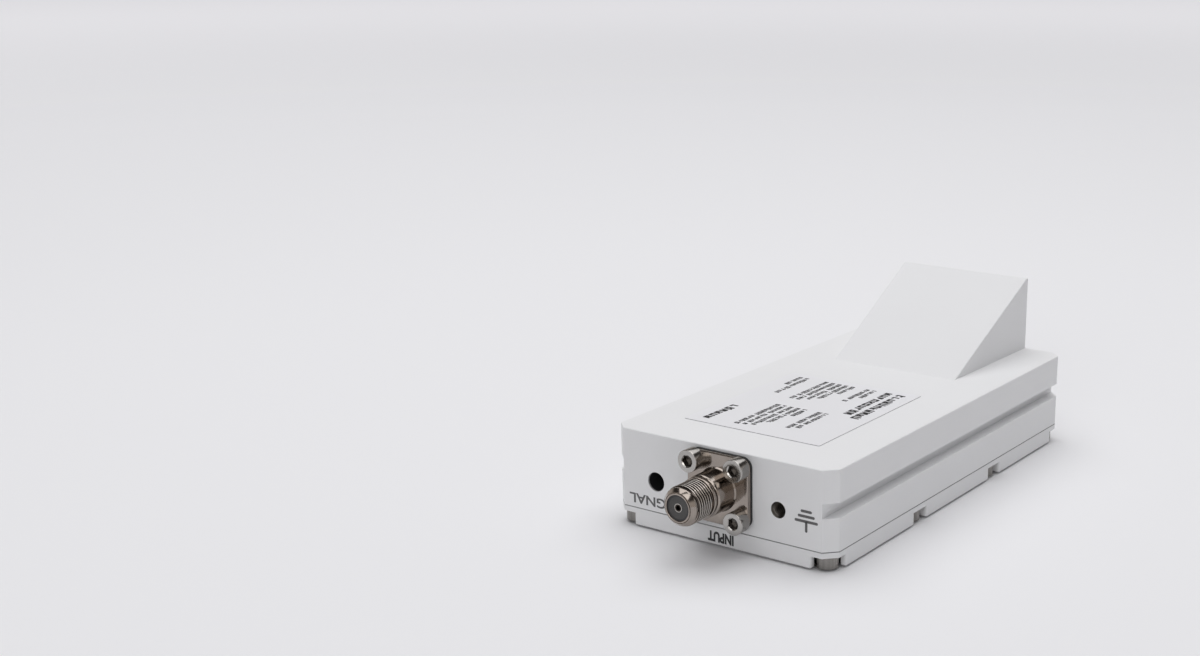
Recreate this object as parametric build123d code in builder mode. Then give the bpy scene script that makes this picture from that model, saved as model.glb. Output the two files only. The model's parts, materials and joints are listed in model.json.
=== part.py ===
from build123d import *
from math import copysign
import os

# A satellite down-converter in a milled box: millimetres, +Z up, the cable connector towards -Y.
# The origin is the middle of the underside, where the box stands on its screwed cover.

# Housing: a milled block, open below, with a wedge on top that carries the waveguide flange
body_width = 62.0
body_length = 120.0
housing_height = 19.5
corner_chamfer = 2.9
corner_edge_radius = 0.4
edge_break = 0.15
side_wall = 8.0
front_wall = 8.0
rear_wall = 9.0
cavity_corner_radius = 3.0

# Clamp grooves along both long sides
groove_rise = 8.0
groove_height = 3.6
groove_depth = 2.9

# Wedge
wedge_length = 40.0
wedge_rise = 20.0
wedge_front_width = 37.0
wedge_back_width = 39.0
wedge_crest = 0.8

# Waveguide input in the back face, with its probe
guide_width = 19.05
guide_height = 9.525
guide_depth = 24.0
flange_pitch_x = 26.42
flange_pitch_z = 28.5
flange_tap_radius = 1.65
flange_tap_depth = 5.5
probe_radius = 0.64
probe_reach = 5.2
probe_from_short = 6.5
probe_solder_tail = 0.4
probe_bead_radius = 2.05
probe_to_can_end = 6.0

# Cover, its seal and its screws
cover_thickness = 4.5
seam_gap = 0.12
cover_edge_radius = 0.5
screw_ledge = 1.35
pocket_clearance = 0.3
corner_notch = 5.8
pocket_lip_radius = 0.6
corner_screw_inset = 3.8
side_screw_inset = 3.3
side_screw_pitch = 39.4
cover_screw_radius = 1.5
cover_screw_head_radius = 2.7
cover_screw_head_height = 3.1
cover_screw_engagement = 6.5
cover_screw_socket = 2.5
cover_screw_socket_depth = 1.6
cover_screw_head_break = 0.25
seal_width = 1.4
seal_depth = 0.9
seal_margin = 0.5

# Cable connector: a threaded jack on a square flange, over a gasket
connector_x = 0.75
connector_rise = 10.2
gasket_thickness = 0.6
gasket_overhang = 0.1
flange_side = 17.0
flange_thickness = 1.2
flange_corner_radius = 2.4
flange_screw_pitch = 12.7
barrel_radius = 5.1
barrel_length = 6.2
barrel_break = 0.35
relief_radius = 4.4
relief_length = 0.5
shoulder_radius = 4.95
shoulder_length = 0.9
shoulder_break = 0.15
thread_radius = 4.7625
thread_length = 6.2
nose_length = 1.4
nose_radius = 3.5
nose_step = 0.25
jack_bore_radius = 3.05
spigot_radius = 4.2
spigot_length = 4.0
insulator_length = 4.6
insulator_recess = 0.35
contact_radius = 1.0
contact_hole_radius = 0.55
contact_hole_depth = 8.0
contact_sleeve_length = 12.0
contact_pin_radius = 0.5
contact_pin_overlap = 3.0
rear_bead_radius = 2.05

# Connector screws
flange_screw_radius = 1.5
flange_screw_head_radius = 2.7
flange_screw_head_height = 3.0
flange_screw_length = 7.5
flange_screw_socket = 2.5
flange_screw_socket_depth = 1.5
flange_screw_head_break = 0.25

# Holes in the front face
lamp_inset = 12.6
lamp_rise = 7.6
lamp_hole_radius = 2.4
earth_inset = 14.6
earth_rise = 7.8
earth_tap_radius = 1.65
earth_tap_depth = 6.5
earth_countersink = 0.35
countersink_slope = 45.0

# Rating label
label_width = 38.8
label_length = 48.2
label_thickness = 0.15
label_x = -0.9
label_setback = 13.8
label_corner_radius = 0.5

# Circuit board and its screws, hung under the cavity's roof
board_thickness = 0.8
board_clearance = 0.4
board_screw_margin = 5.0
board_screw_rows = 3
board_screw_radius = 1.0
board_screw_head_radius = 1.9
board_screw_head_height = 1.3
board_screw_engagement = 2.6

# Parts soldered under the board
can_width = 24.0
can_length = 30.0
can_height = 5.0
can_sheet = 0.3
transistor_side = 1.8
transistor_height = 1.1
transistor_pitch = 8.0
mixer_side = 4.0
mixer_height = 0.9
mixer_gap = 4.0
synthesiser_side = 6.0
synthesiser_height = 0.9
chip_row_gap = 5.0
crystal_length = 11.0
crystal_width = 4.6
crystal_height = 3.6
amplifier_length = 4.5
amplifier_width = 2.5
amplifier_height = 1.5
regulator_width = 6.6
regulator_length = 6.1
regulator_height = 2.3
regulator_tab_length = 3.0
regulator_tab_thickness = 0.5
capacitor_radius = 3.1
capacitor_height = 5.8
capacitor_count = 3
capacitor_pitch = 8.5
inductor_side = 6.0
inductor_height = 3.0
inductor_corner_radius = 1.2
power_row_x = 10.0
power_row_setback = 8.0
signal_row_x = -9.0

# Absorber on the inside of the cover, under the screened input stage
absorber_overlap = 2.0
absorber_thickness = 2.0

# Status lamp behind its hole
lamp_radius = 1.5
lamp_rim_radius = 1.9
lamp_rim_thickness = 0.8
lamp_length = 4.2
lamp_lead_side = 0.5
lamp_lead_pitch = 1.27
lamp_lead_run = 2.0

# Socket screws
socket_sides = 6

# Clearances
sliding_fit = 0.05
screw_clearance = 0.2
thread_fit = 0.02
same_place = 0.01

# Levels and planes worked out from the sizes above
seam = cover_thickness + seam_gap
body_top = seam + housing_height
front_y = -body_length / 2
back_y = body_length / 2
connector_z = seam + connector_rise
lamp_x = lamp_inset - body_width / 2
earth_x = body_width / 2 - earth_inset
cavity_roof = connector_z + contact_pin_radius + board_thickness
board_under = cavity_roof - board_thickness
cavity_width = body_width - 2 * side_wall
cavity_length = body_length - front_wall - rear_wall
cavity_y = (front_wall - rear_wall) / 2
guide_z = seam + (housing_height + wedge_rise) / 2
guide_floor = guide_z - guide_height / 2
probe_y = back_y - guide_depth + probe_from_short
pocket_depth = cover_thickness - screw_ledge
pocket_radius = cover_screw_head_radius + pocket_clearance
gasket_side = flange_side + 2 * gasket_overhang
seat = gasket_thickness
flange_face = seat + flange_thickness
barrel_end = flange_face + barrel_length
relief_end = barrel_end + relief_length
shoulder_end = relief_end + shoulder_length
thread_end = shoulder_end + thread_length
nose_end = thread_end + nose_length
board_length = cavity_length - 2 * board_clearance
board_width = cavity_width - 2 * board_clearance

back_face = Plane(origin=(0, back_y, 0), x_dir=(-1, 0, 0), z_dir=(0, 1, 0))
jack_face = Plane(origin=(connector_x, front_y, connector_z), x_dir=(1, 0, 0), z_dir=(0, -1, 0))
jack_section = Plane(origin=(connector_x, front_y, connector_z), x_dir=(1, 0, 0), z_dir=(0, 0, -1))
jack_axis = Axis((connector_x, front_y, connector_z), (0, -1, 0))
lamp_face = Plane(origin=(lamp_x, front_y, seam + lamp_rise), x_dir=(1, 0, 0), z_dir=(0, -1, 0))
earth_face = Plane(origin=(earth_x, front_y, seam + earth_rise), x_dir=(1, 0, 0), z_dir=(0, -1, 0))
solder_side = Plane(origin=(0, 0, board_under), x_dir=(1, 0, 0), z_dir=(0, 0, -1))

# Where the screws stand
corner_screw_x = body_width / 2 - corner_screw_inset
corner_screw_y = body_length / 2 - corner_screw_inset
side_screw_x = body_width / 2 - side_screw_inset
side_screw_y = side_screw_pitch / 2
corner_screws = [(sx * corner_screw_x, sy * corner_screw_y) for sx in (-1, 1) for sy in (-1, 1)]
side_screws = [(sx * side_screw_x, sy * side_screw_y) for sx in (-1, 1) for sy in (-1, 1)]
cover_screw_spots = corner_screws + side_screws
board_screw_x = board_width / 2 - board_screw_margin
board_screw_pitch = (board_length - 2 * board_screw_margin) / (board_screw_rows - 1)


def box_outline():
    """The box seen from above: a rectangle with its four corners cut off."""
    rectangle = Rectangle(body_width, body_length)
    cut_corners = chamfer(rectangle.vertices(), corner_chamfer)
    fillet(cut_corners.vertices(), corner_edge_radius)


def on_box_side(point):
    """True for a corner of the outline that lies on one of the box's four sides."""
    across = abs(abs(point.X) - body_width / 2)
    along = abs(abs(point.Y) - body_length / 2)
    return min(across, along) < same_place


def board_screw_spots():
    """The board's screw places, in rows along its two long edges."""
    return GridLocations(2 * board_screw_x, board_screw_pitch, 2, board_screw_rows)


# Wedge: a trapezium seen from above, cut off by a slope that rises to a narrow crest at the back
with BuildPart() as wedge:
    with BuildSketch(Plane.XY.offset(seam)):
        with BuildLine():
            Polyline(
                (-wedge_front_width / 2, back_y - wedge_length),
                (wedge_front_width / 2, back_y - wedge_length),
                (wedge_back_width / 2, back_y),
                (-wedge_back_width / 2, back_y),
                close=True,
            )
        make_face()
    extrude(amount=housing_height + wedge_rise)
    with BuildSketch(Plane.YZ):
        with BuildLine():
            Polyline(
                (back_y - wedge_length, body_top),
                (back_y - wedge_crest, body_top + wedge_rise),
                (back_y - wedge_length, body_top + wedge_rise),
                close=True,
            )
        make_face()
    extrude(amount=wedge_back_width, both=True, mode=Mode.SUBTRACT)
    # The slope lies next below the crest, and its lowest edge is the foot, which stays sharp
    slope = wedge.faces().sort_by(Axis.Z)[-2]
    chamfer(slope.edges().sort_by(Axis.Z)[1:], edge_break)

# Housing
with BuildPart() as housing:
    with BuildSketch(Plane.XY.offset(seam)):
        box_outline()
    extrude(amount=housing_height)
    chamfer(housing.faces().sort_by(Axis.Z)[-1].edges(), edge_break)
    add(wedge.part)
    # Grooves that open on both long sides
    with BuildSketch(Plane.XZ.offset(-back_y)):
        with Locations((-body_width / 2, seam + groove_rise), (body_width / 2, seam + groove_rise)):
            Rectangle(2 * groove_depth, groove_height, align=(Align.CENTER, Align.MIN))
    extrude(amount=body_length, mode=Mode.SUBTRACT)
    # Cavity for the board
    with BuildSketch(Plane.XY.offset(seam)):
        with Locations((0, cavity_y)):
            RectangleRounded(cavity_width, cavity_length, cavity_corner_radius)
    extrude(amount=cavity_roof - seam, mode=Mode.SUBTRACT)
    # Waveguide, its probe hole and its flange's tapped holes
    with BuildSketch(back_face):
        with Locations((0, guide_z)):
            Rectangle(guide_width, guide_height)
    extrude(amount=-guide_depth, mode=Mode.SUBTRACT)
    with BuildSketch(Plane.XY.offset(cavity_roof)):
        with Locations((0, probe_y)):
            Circle(probe_bead_radius + sliding_fit)
    extrude(amount=guide_floor - cavity_roof, mode=Mode.SUBTRACT)
    with BuildSketch(back_face):
        with Locations((0, guide_z)):
            with GridLocations(flange_pitch_x, flange_pitch_z, 2, 2):
                Circle(flange_tap_radius)
    extrude(amount=-flange_tap_depth, mode=Mode.SUBTRACT)
    # Front wall: connector seat, its bead and screw holes, the lamp hole and the earth hole
    with BuildSketch(jack_face):
        Circle(spigot_radius + sliding_fit)
    extrude(amount=-spigot_length, mode=Mode.SUBTRACT)
    with BuildSketch(jack_face):
        Circle(rear_bead_radius + sliding_fit)
    extrude(amount=-front_wall, mode=Mode.SUBTRACT)
    with BuildSketch(jack_face):
        with GridLocations(flange_screw_pitch, flange_screw_pitch, 2, 2):
            Circle(flange_screw_radius + thread_fit)
    extrude(amount=-(flange_screw_length - flange_face), mode=Mode.SUBTRACT)
    with BuildSketch(lamp_face):
        Circle(lamp_hole_radius)
    extrude(amount=-front_wall, mode=Mode.SUBTRACT)
    with BuildSketch(earth_face):
        Circle(earth_tap_radius)
    extrude(amount=-earth_tap_depth, mode=Mode.SUBTRACT)
    with BuildSketch(earth_face):
        Circle(earth_tap_radius + earth_countersink)
    extrude(amount=-earth_countersink, taper=countersink_slope, mode=Mode.SUBTRACT)
    # Tapped holes for the cover's screws, in the walls, and for the board's screws, in the roof
    with BuildSketch(Plane.XY.offset(seam)):
        with Locations(*cover_screw_spots):
            Circle(cover_screw_radius + thread_fit)
    extrude(amount=cover_screw_engagement, mode=Mode.SUBTRACT)
    with BuildSketch(Plane.XY.offset(cavity_roof)):
        with Locations((0, cavity_y)):
            with board_screw_spots():
                Circle(board_screw_radius + thread_fit)
    extrude(amount=board_screw_engagement, mode=Mode.SUBTRACT)

# Cover: a thick plate whose screws stand in pockets that open at its sides and corners
with BuildPart() as cover:
    with BuildSketch() as lower_layer:
        box_outline()
        with Locations(*cover_screw_spots):
            Circle(pocket_radius, mode=Mode.SUBTRACT)
        with Locations(*[(x + copysign(side_screw_inset, x), y) for x, y in side_screws]):
            Rectangle(2 * side_screw_inset, 2 * pocket_radius, mode=Mode.SUBTRACT)
        with GridLocations(body_width, body_length, 2, 2):
            Rectangle(2 * corner_notch, 2 * corner_notch, mode=Mode.SUBTRACT)
        fillet(lower_layer.vertices().filter_by(on_box_side), pocket_lip_radius)
    extrude(amount=pocket_depth)
    fillet(cover.faces().sort_by(Axis.Z)[0].edges(), cover_edge_radius)
    with BuildSketch(Plane.XY.offset(pocket_depth)):
        box_outline()
    extrude(amount=screw_ledge)
    with BuildSketch(Plane.XY.offset(pocket_depth)):
        with Locations(*cover_screw_spots):
            Circle(cover_screw_radius + screw_clearance)
    extrude(amount=screw_ledge, mode=Mode.SUBTRACT)
    # Groove for the seal, round the cavity's mouth
    with BuildSketch(Plane.XY.offset(cover_thickness)):
        with Locations((0, cavity_y)):
            RectangleRounded(
                cavity_width + 2 * (seal_margin + seal_width),
                cavity_length + 2 * (seal_margin + seal_width),
                cavity_corner_radius + seal_margin + seal_width,
            )
            RectangleRounded(
                cavity_width + 2 * seal_margin,
                cavity_length + 2 * seal_margin,
                cavity_corner_radius + seal_margin,
                mode=Mode.SUBTRACT,
            )
    extrude(amount=-seal_depth, mode=Mode.SUBTRACT)

# Seal: it fills its groove and stands out of it by the gap at the seam
with BuildPart() as cover_seal:
    with BuildSketch(Plane.XY.offset(cover_thickness - seal_depth)):
        with Locations((0, cavity_y)):
            RectangleRounded(
                cavity_width + 2 * (seal_margin + seal_width - sliding_fit),
                cavity_length + 2 * (seal_margin + seal_width - sliding_fit),
                cavity_corner_radius + seal_margin + seal_width - sliding_fit,
            )
            RectangleRounded(
                cavity_width + 2 * (seal_margin + sliding_fit),
                cavity_length + 2 * (seal_margin + sliding_fit),
                cavity_corner_radius + seal_margin + sliding_fit,
                mode=Mode.SUBTRACT,
            )
    extrude(amount=seal_depth + seam_gap)

# Cover screws: socket heads that stay just inside the underside
with BuildPart() as cover_screws:
    with BuildSketch(Plane.XY.offset(pocket_depth)):
        with Locations(*cover_screw_spots):
            Circle(cover_screw_head_radius)
    extrude(amount=-cover_screw_head_height)
    rims = cover_screws.edges().filter_by(GeomType.CIRCLE).group_by(Axis.Z)[0]
    chamfer(rims, cover_screw_head_break)
    with BuildSketch(Plane.XY.offset(pocket_depth)):
        with Locations(*cover_screw_spots):
            Circle(cover_screw_radius)
    extrude(amount=screw_ledge + seam_gap + cover_screw_engagement)
    with BuildSketch(Plane.XY.offset(pocket_depth - cover_screw_head_height)):
        with Locations(*cover_screw_spots):
            RegularPolygon(cover_screw_socket / 2, socket_sides, major_radius=False)
    extrude(amount=cover_screw_socket_depth, mode=Mode.SUBTRACT)

# Connector: a turned jack on its square flange
with BuildPart() as connector_body:
    with BuildSketch(jack_face.offset(seat)):
        RectangleRounded(flange_side, flange_side, flange_corner_radius)
        with GridLocations(flange_screw_pitch, flange_screw_pitch, 2, 2):
            Circle(flange_screw_radius + screw_clearance, mode=Mode.SUBTRACT)
    extrude(amount=flange_thickness)
    with BuildSketch(jack_section):
        with BuildLine():
            Polyline(
                (0, -spigot_length),
                (spigot_radius, -spigot_length),
                (spigot_radius, flange_face),
                (barrel_radius, flange_face),
                (barrel_radius, barrel_end - barrel_break),
                (barrel_radius - barrel_break, barrel_end),
                (relief_radius, barrel_end),
                (relief_radius, relief_end),
                (shoulder_radius - shoulder_break, relief_end),
                (shoulder_radius, relief_end + shoulder_break),
                (shoulder_radius, shoulder_end - shoulder_break),
                (shoulder_radius - shoulder_break, shoulder_end),
                (thread_radius, shoulder_end),
                (thread_radius, thread_end),
                (thread_radius - nose_step, thread_end),
                (nose_radius, nose_end),
                (0, nose_end),
                close=True,
            )
        make_face()
    revolve(axis=jack_axis)
    with BuildSketch(jack_face.offset(nose_end)):
        Circle(jack_bore_radius)
    extrude(amount=-(nose_end + spigot_length), mode=Mode.SUBTRACT)

with BuildPart() as connector_gasket:
    with BuildSketch(jack_face):
        RectangleRounded(gasket_side, gasket_side, flange_corner_radius + gasket_overhang)
        Circle(spigot_radius + screw_clearance, mode=Mode.SUBTRACT)
        with GridLocations(flange_screw_pitch, flange_screw_pitch, 2, 2):
            Circle(flange_screw_radius + screw_clearance, mode=Mode.SUBTRACT)
    extrude(amount=gasket_thickness)

with BuildPart() as connector_screws:
    with BuildSketch(jack_face.offset(flange_face)):
        with GridLocations(flange_screw_pitch, flange_screw_pitch, 2, 2):
            Circle(flange_screw_head_radius)
    extrude(amount=flange_screw_head_height)
    rims = connector_screws.edges().filter_by(GeomType.CIRCLE).group_by(Axis.Y)[0]
    chamfer(rims, flange_screw_head_break)
    with BuildSketch(jack_face.offset(flange_face)):
        with GridLocations(flange_screw_pitch, flange_screw_pitch, 2, 2):
            Circle(flange_screw_radius)
    extrude(amount=-flange_screw_length)
    with BuildSketch(jack_face.offset(flange_face + flange_screw_head_height)):
        with GridLocations(flange_screw_pitch, flange_screw_pitch, 2, 2):
            RegularPolygon(flange_screw_socket / 2, socket_sides, major_radius=False)
    extrude(amount=-flange_screw_socket_depth, mode=Mode.SUBTRACT)

with BuildPart() as connector_insulator:
    with BuildSketch(jack_face.offset(nose_end - insulator_recess)):
        Circle(jack_bore_radius - thread_fit)
        Circle(contact_radius + thread_fit, mode=Mode.SUBTRACT)
    extrude(amount=-insulator_length)

with BuildPart() as connector_rear_bead:
    with BuildSketch(jack_face.offset(-spigot_length)):
        Circle(rear_bead_radius)
        Circle(contact_pin_radius + thread_fit, mode=Mode.SUBTRACT)
    extrude(amount=-(front_wall - spigot_length))

# Centre contact: a sleeve that grips the cable's core, and a pin that runs back under the board
with BuildPart() as centre_contact:
    with BuildSketch(jack_face.offset(nose_end - insulator_recess)):
        Circle(contact_radius)
    extrude(amount=-contact_sleeve_length)
    with BuildSketch(jack_face.offset(nose_end - insulator_recess)):
        Circle(contact_hole_radius)
    extrude(amount=-contact_hole_depth, mode=Mode.SUBTRACT)
    with BuildSketch(jack_face.offset(nose_end - insulator_recess - contact_sleeve_length)):
        Circle(contact_pin_radius)
    pin_run = nose_end - insulator_recess - contact_sleeve_length + front_wall
    extrude(amount=-(pin_run + board_clearance + contact_pin_overlap))

with BuildPart() as rating_label:
    with BuildSketch(Plane.XY.offset(body_top)):
        with Locations((label_x, front_y + label_setback + label_length / 2)):
            RectangleRounded(label_width, label_length, label_corner_radius)
    extrude(amount=label_thickness)

# Circuit board
with BuildPart() as circuit_board:
    with BuildSketch(Plane.XY.offset(board_under)):
        with Locations((0, cavity_y)):
            RectangleRounded(board_width, board_length, cavity_corner_radius)
            with board_screw_spots():
                Circle(board_screw_radius + screw_clearance, mode=Mode.SUBTRACT)
        with Locations((0, probe_y)):
            Circle(probe_radius + thread_fit, mode=Mode.SUBTRACT)
    extrude(amount=board_thickness)

with BuildPart() as board_screws:
    with BuildSketch(Plane.XY.offset(board_under)):
        with Locations((0, cavity_y)):
            with board_screw_spots():
                Circle(board_screw_head_radius)
    extrude(amount=-board_screw_head_height)
    with BuildSketch(Plane.XY.offset(board_under)):
        with Locations((0, cavity_y)):
            with board_screw_spots():
                Circle(board_screw_radius)
    extrude(amount=board_thickness + board_screw_engagement)

# Probe: a pin from the board, through its bead, into the waveguide
with BuildPart() as waveguide_probe:
    with BuildSketch(Plane.XY.offset(board_under - probe_solder_tail)):
        with Locations((0, probe_y)):
            Circle(probe_radius)
    extrude(amount=guide_floor + probe_reach - board_under + probe_solder_tail)

with BuildPart() as probe_bead:
    with BuildSketch(Plane.XY.offset(cavity_roof)):
        with Locations((0, probe_y)):
            Circle(probe_bead_radius)
            Circle(probe_radius + thread_fit, mode=Mode.SUBTRACT)
    extrude(amount=guide_floor - cavity_roof)

# Parts on the board's underside, from the probe forwards to the cable connector
can_y = probe_y + probe_to_can_end - can_length / 2
can_front = can_y - can_length / 2
mixer_y = can_front - mixer_gap - mixer_side / 2
synthesiser_y = mixer_y - mixer_side / 2 - chip_row_gap - synthesiser_side / 2
crystal_y = synthesiser_y - synthesiser_side / 2 - chip_row_gap - crystal_width / 2
amplifier_y = crystal_y - crystal_width / 2 - chip_row_gap - amplifier_length / 2
inductor_y = front_y + front_wall + power_row_setback
regulator_y = inductor_y + inductor_side / 2 + chip_row_gap + regulator_length / 2
capacitor_y = regulator_y + regulator_length / 2 + regulator_tab_length + chip_row_gap + capacitor_radius

with BuildPart() as screening_can:
    with BuildSketch(solder_side):
        with Locations((0, -can_y)):
            Rectangle(can_width, can_length)
    extrude(amount=can_height)
    offset(amount=-can_sheet, openings=screening_can.faces().sort_by(Axis.Z)[-1])

with BuildPart() as input_transistors:
    with BuildSketch(solder_side):
        with Locations((0, -can_y)):
            with GridLocations(transistor_pitch, transistor_pitch, 1, 2):
                Rectangle(transistor_side, transistor_side)
    extrude(amount=transistor_height)

with BuildPart() as mixer_chip:
    with BuildSketch(solder_side):
        with Locations((signal_row_x, -mixer_y)):
            Rectangle(mixer_side, mixer_side)
    extrude(amount=mixer_height)

with BuildPart() as synthesiser_chip:
    with BuildSketch(solder_side):
        with Locations((signal_row_x, -synthesiser_y)):
            Rectangle(synthesiser_side, synthesiser_side)
    extrude(amount=synthesiser_height)

with BuildPart() as reference_crystal:
    with BuildSketch(solder_side):
        with Locations((signal_row_x, -crystal_y)):
            SlotOverall(crystal_length, crystal_width)
    extrude(amount=crystal_height)

with BuildPart() as output_amplifier:
    with BuildSketch(solder_side):
        with Locations((signal_row_x, -amplifier_y)):
            Rectangle(amplifier_width, amplifier_length)
    extrude(amount=amplifier_height)

with BuildPart() as voltage_regulator:
    with BuildSketch(solder_side):
        with Locations((power_row_x, -regulator_y)):
            Rectangle(regulator_width, regulator_length)
    extrude(amount=regulator_height)
    with BuildSketch(solder_side):
        with Locations((power_row_x, -regulator_y - regulator_length / 2)):
            Rectangle(regulator_width, regulator_tab_length, align=(Align.CENTER, Align.MAX))
    extrude(amount=regulator_tab_thickness)

with BuildPart() as smoothing_capacitors:
    with BuildSketch(solder_side):
        row_middle = capacitor_y + capacitor_pitch * (capacitor_count - 1) / 2
        with Locations((power_row_x, -row_middle)):
            with GridLocations(capacitor_pitch, capacitor_pitch, 1, capacitor_count):
                Circle(capacitor_radius)
    extrude(amount=capacitor_height)

with BuildPart() as power_inductor:
    with BuildSketch(solder_side):
        with Locations((power_row_x, -inductor_y)):
            RectangleRounded(inductor_side, inductor_side, inductor_corner_radius)
    extrude(amount=inductor_height)

with BuildPart() as absorber_pad:
    with BuildSketch(Plane.XY.offset(cover_thickness)):
        with Locations((0, can_y)):
            Rectangle(can_width + 2 * absorber_overlap, can_length + 2 * absorber_overlap)
    extrude(amount=absorber_thickness)

# Status lamp: a dome in the front wall's hole, on two leads bent up to the board
with BuildPart() as status_lamp:
    lamp_back = lamp_face.offset(-front_wall)
    with BuildSketch(lamp_back):
        Circle(lamp_radius)
    extrude(amount=lamp_length)
    dome_edge = status_lamp.edges().filter_by(GeomType.CIRCLE).sort_by(Axis.Y)[0]
    fillet(dome_edge, lamp_radius - sliding_fit)
    with BuildSketch(lamp_back):
        Circle(lamp_rim_radius)
    extrude(amount=lamp_rim_thickness)
    with BuildSketch(lamp_back):
        with GridLocations(2 * lamp_lead_pitch, 0, 2, 1):
            Rectangle(lamp_lead_side, lamp_lead_side)
    extrude(amount=-lamp_lead_run)
    with BuildSketch(lamp_back.offset(-lamp_lead_run)):
        with GridLocations(2 * lamp_lead_pitch, 0, 2, 1):
            lead_rise = board_under - seam - lamp_rise + lamp_lead_side / 2
            with Locations((0, -lamp_lead_side / 2)):
                Rectangle(lamp_lead_side, lead_rise, align=(Align.CENTER, Align.MIN))
    extrude(amount=-lamp_lead_side)

pieces = {
    "housing": housing,
    "cover": cover,
    "cover_seal": cover_seal,
    "cover_screws": cover_screws,
    "connector_body": connector_body,
    "connector_gasket": connector_gasket,
    "connector_screws": connector_screws,
    "connector_insulator": connector_insulator,
    "connector_rear_bead": connector_rear_bead,
    "centre_contact": centre_contact,
    "rating_label": rating_label,
    "circuit_board": circuit_board,
    "board_screws": board_screws,
    "waveguide_probe": waveguide_probe,
    "probe_bead": probe_bead,
    "screening_can": screening_can,
    "input_transistors": input_transistors,
    "mixer_chip": mixer_chip,
    "synthesiser_chip": synthesiser_chip,
    "reference_crystal": reference_crystal,
    "output_amplifier": output_amplifier,
    "voltage_regulator": voltage_regulator,
    "smoothing_capacitors": smoothing_capacitors,
    "power_inductor": power_inductor,
    "absorber_pad": absorber_pad,
    "status_lamp": status_lamp,
}

os.makedirs("parts", exist_ok=True)
for name, piece in pieces.items():
    piece.part.label = name
    export_step(piece.part, f"parts/{name}.step")
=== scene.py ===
# %% [markdown]
# # Dressing a satellite down-converter
# The part is a flat milled box, painted satin white, with a turned cable jack on its front and a wedge on its back.
# The solids come from CAD and stay where they are, so this lesson only adds what a solid model leaves out: paint,
# plated metal, a real screw thread, socket screws, printed legends, soft light and a camera.
# The first cell loads the solids and parents them to their bodies.

# %% Load the solids
import json
import math
import random

import bmesh
import bpy
from mathutils import Matrix, Vector

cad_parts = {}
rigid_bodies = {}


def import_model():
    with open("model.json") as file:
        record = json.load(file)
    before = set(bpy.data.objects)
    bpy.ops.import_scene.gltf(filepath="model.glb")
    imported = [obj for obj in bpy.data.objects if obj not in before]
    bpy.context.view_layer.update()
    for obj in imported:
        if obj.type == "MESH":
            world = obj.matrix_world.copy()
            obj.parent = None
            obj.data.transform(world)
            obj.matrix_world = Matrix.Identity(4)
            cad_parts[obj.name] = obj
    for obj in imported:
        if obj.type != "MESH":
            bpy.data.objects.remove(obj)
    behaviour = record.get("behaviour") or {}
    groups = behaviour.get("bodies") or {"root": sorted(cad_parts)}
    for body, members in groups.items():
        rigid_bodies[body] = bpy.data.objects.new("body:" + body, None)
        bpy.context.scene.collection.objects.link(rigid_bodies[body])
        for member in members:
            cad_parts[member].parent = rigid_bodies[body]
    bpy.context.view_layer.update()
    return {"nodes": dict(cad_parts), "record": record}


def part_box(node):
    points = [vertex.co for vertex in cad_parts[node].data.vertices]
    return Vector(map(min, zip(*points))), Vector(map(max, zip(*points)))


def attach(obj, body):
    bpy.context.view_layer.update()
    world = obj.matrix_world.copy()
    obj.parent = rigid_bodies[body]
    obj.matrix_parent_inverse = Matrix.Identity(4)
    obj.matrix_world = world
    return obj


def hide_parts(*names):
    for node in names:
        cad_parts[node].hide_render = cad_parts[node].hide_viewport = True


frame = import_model()
nodes = frame["nodes"]
MM = 0.001

# %% [markdown]
# ## Places to build on
# A new piece should take its place from the solids, not from numbers typed twice. A few levels say it all: the
# front face, the seam between housing and cover, and the axis of the jack, which runs through the middle of its
# insulator. The record of the part states its mounts, so the thread and the earth hole come from there.

# %% Read levels and axes from the frame
housing_low, housing_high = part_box("housing")
cover_low, cover_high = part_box("cover")
label_low, label_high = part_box("rating_label")
insulator_low, insulator_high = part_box("connector_insulator")
jack_low, jack_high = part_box("connector_body")
gasket_low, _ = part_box("connector_gasket")
jack_screws_low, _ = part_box("connector_screws")
lamp_low, lamp_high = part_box("status_lamp")
mounts = {mount["name"]: mount for mount in frame["record"]["mounts"]}

FRONT_Y = housing_low.y
BACK_Y = housing_high.y
jack_x = (insulator_low.x + insulator_high.x) / 2
jack_z = (insulator_low.z + insulator_high.z) / 2
earth_x, _, earth_z = mounts["earth_screw"]["pos_m"]
port_x, _, port_z = mounts["waveguide_flange"]["pos_m"]


def facing_front(x, z):
    """A place on the front face, where local X runs right, Y runs up and Z comes out of the face."""
    return Matrix(((1, 0, 0, x), (0, 0, -1, FRONT_Y), (0, 1, 0, z), (0, 0, 0, 1)))


def add_object(name, data):
    """A new object at the origin, linked into the scene."""
    made = bpy.data.objects.new(name, data)
    bpy.context.scene.collection.objects.link(made)
    return made


print("jack axis at", round(jack_x / MM, 3), round(jack_z / MM, 3), "mm")

# %% [markdown]
# ## Camera
# The box's corners in the photograph fix the lens, the place and the turn of the camera. The object sits right of
# the middle there, with the perspective of a picture cut from a larger one, so the lens is shifted as well.

# %% Place the camera
CAMERA_PLACE = Vector((0.21292, -0.35372, 0.14535))
CAMERA_AZIMUTH = 33.008
CAMERA_ELEVATION = 16.145
CAMERA_ROLL = 0.278
LENS = 49.966
SENSOR = 36.0
SHIFT_X = -0.1667
SHIFT_Y = 0.0433
NEAREST_SEEN = 0.01

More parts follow.
